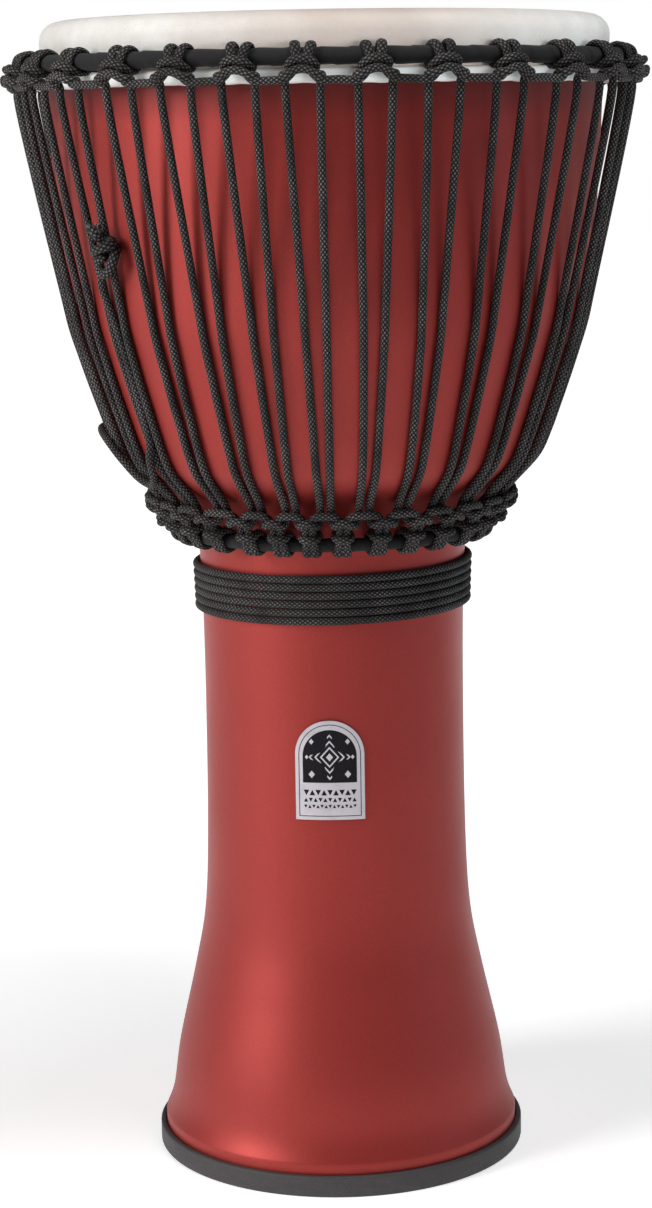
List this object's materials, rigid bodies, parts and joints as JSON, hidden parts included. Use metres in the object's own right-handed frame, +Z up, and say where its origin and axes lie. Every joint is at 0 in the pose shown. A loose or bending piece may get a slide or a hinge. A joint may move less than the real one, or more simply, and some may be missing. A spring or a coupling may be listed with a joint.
{
  "type": "rope-tuned djembe",
  "caption": "Goblet hand drum with a skin head laced by rope between a wrapped crown ring and a lower ring, spare rope coiled on the stem and a rubber foot ring.",
  "frame": {"origin": "on the floor at the centre of the foot", "axes": "+Z up along the drum's axis, the badge faces -Y, +X to the right of a person looking at the badge"},
  "size_m": [0.3449, 0.345, 0.623],
  "materials": {
    "shell_red": "satin metallic red paint on a moulded shell",
    "skin": "off-white drum skin, matt and slightly translucent",
    "rope": "charcoal braided polyester rope",
    "wrap_cloth": "black woven cloth strip",
    "ring_steel": "plain steel rod, hidden under cloth or skin",
    "badge_plate": "brushed silver plate with a black printed pattern",
    "foot_rubber": "dark grey rubber"
  },
  "bodies": {
    "root": {"shell": "shell_red", "drumhead": "skin", "flesh_hoop": "ring_steel", "crown_ring": "ring_steel", "crown_ring_wrap": "wrap_cloth", "crown_cradle_rope": "rope", "lower_ring": "ring_steel", "lower_ring_wrap": "wrap_cloth", "lower_cradle_rope": "rope", "lacing_rope": "rope", "lacing_knot": "rope", "tail_rope": "rope", "badge": "badge_plate", "foot_ring": "foot_rubber"}
  },
  "joints": []
}
